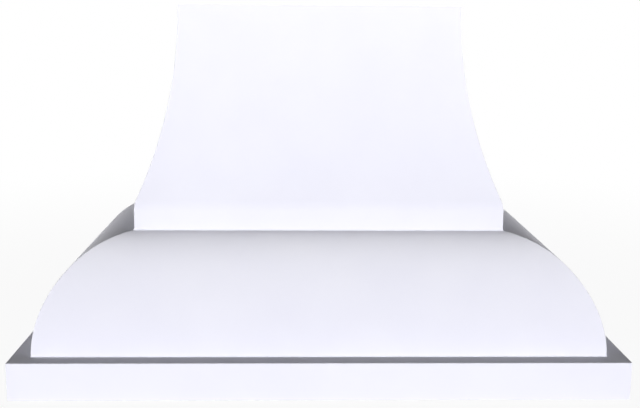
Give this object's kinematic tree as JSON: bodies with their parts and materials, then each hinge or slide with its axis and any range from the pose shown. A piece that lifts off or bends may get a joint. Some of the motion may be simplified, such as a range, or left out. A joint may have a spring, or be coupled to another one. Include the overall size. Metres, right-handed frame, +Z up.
{
  "type": "range hood cover",
  "caption": "Wooden kitchen hood cover: flat apron and ledge, rounded bell, upright neck and flared chimney on a rib skeleton, open at the bottom, top and back.",
  "frame": {"origin": "middle of the cover's outline at the level of the apron's lower edge", "axes": "+X to the right seen from the front, -Y to the front, +Y to the wall, +Z up"},
  "size_m": [1.219, 0.635, 0.762],
  "materials": {
    "painted_board": "satin white paint on solid wood",
    "painted_skin": "satin white paint outside, bare bending plywood inside",
    "birch_plywood": "bare birch plywood with sawn edges",
    "poplar_rail": "bare planed poplar",
    "pine": "bare planed pine",
    "beech_biscuit": "pressed beech",
    "zinc_plated_screw": "zinc plated"
  },
  "bodies": {
    "root": {"apron_back_rail": "poplar_rail", "apron_front": "painted_board", "apron_glue_blocks": "pine", "apron_left": "painted_board", "apron_right": "painted_board", "bell_rib_front_1": "birch_plywood", "bell_rib_front_2": "birch_plywood", "bell_rib_front_3": "birch_plywood", "bell_rib_front_4": "birch_plywood", "bell_rib_front_5": "birch_plywood", "bell_rib_hip_left": "birch_plywood", "bell_rib_hip_right": "birch_plywood", "bell_rib_side_left": "birch_plywood", "bell_rib_side_right": "birch_plywood", "bell_rib_wall_left": "birch_plywood", "bell_rib_wall_right": "birch_plywood", "bell_skin_front": "painted_skin", "bell_skin_left": "painted_skin", "bell_skin_right": "painted_skin", "chimney_rib_front_1": "birch_plywood", "chimney_rib_front_2": "birch_plywood", "chimney_rib_front_3": "birch_plywood", "chimney_rib_hip_left": "birch_plywood", "chimney_rib_hip_right": "birch_plywood", "chimney_rib_side_left": "birch_plywood", "chimney_rib_side_right": "birch_plywood", "chimney_rib_wall_left": "birch_plywood", "chimney_rib_wall_right": "birch_plywood", "chimney_skin_front": "painted_skin", "chimney_skin_left": "painted_skin", "chimney_skin_right": "painted_skin", "hanging_rail": "poplar_rail", "ledge_front": "painted_board", "ledge_left": "painted_board", "ledge_right": "painted_board", "liner_cleat_back": "pine", "liner_cleat_front": "pine", "liner_cleat_left": "pine", "liner_cleat_right": "pine", "liner_cleat_screws": "zinc_plated_screw", "mitre_biscuits": "beech_biscuit", "neck_back_rail": "poplar_rail", "neck_front": "painted_board", "neck_left": "painted_board", "neck_plate_front": "pine", "neck_plate_left": "pine", "neck_plate_right": "pine", "neck_plate_screws": "zinc_plated_screw", "neck_right": "painted_board", "rail_screws": "zinc_plated_screw", "rib_foot_screws": "zinc_plated_screw", "top_plate_front": "pine", "top_plate_left": "pine", "top_plate_right": "pine", "top_plate_screws": "zinc_plated_screw"}
  },
  "joints": []
}
